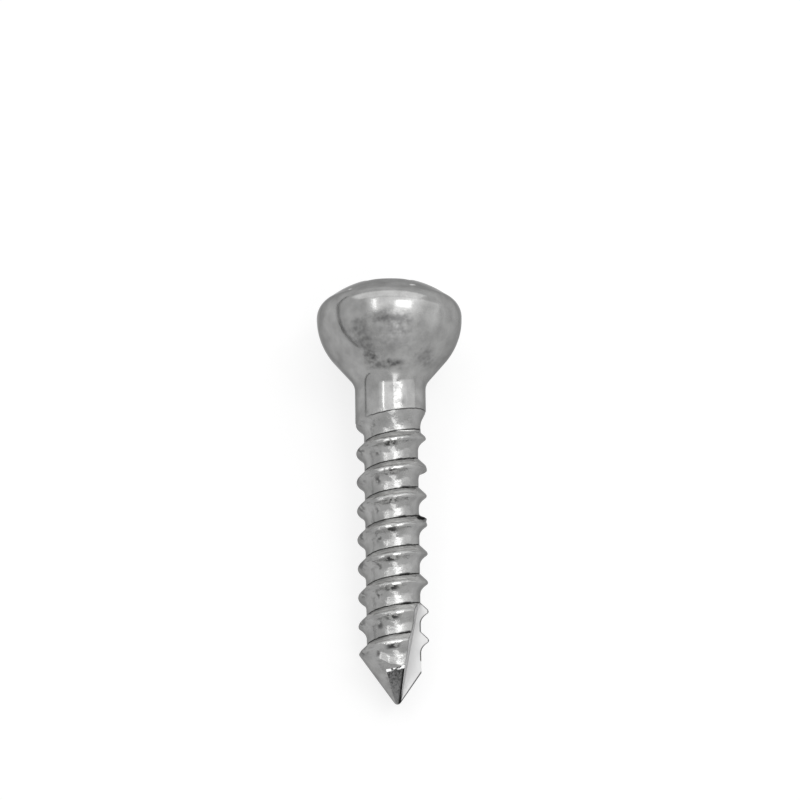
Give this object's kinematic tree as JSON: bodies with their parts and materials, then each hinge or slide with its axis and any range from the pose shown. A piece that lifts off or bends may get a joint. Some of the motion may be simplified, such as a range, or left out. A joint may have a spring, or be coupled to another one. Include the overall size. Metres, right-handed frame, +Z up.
{
  "type": "orthopedic bone screw",
  "caption": "Self-tapping cortical bone screw with a domed hexagon-socket head, conical seat, plain neck, single-start thread and a fluted point.",
  "frame": {"origin": "on the table, under the middle of the lying screw's box", "axes": "+Z up from the table, +Y along the table from the point towards the head, the flute that shows on the upper +X side"},
  "size_m": [0.003, 0.0088, 0.003],
  "materials": {
    "implant_steel": "turned and polished, worn"
  },
  "bodies": {
    "root": {"bone_screw": "implant_steel"}
  },
  "joints": []
}
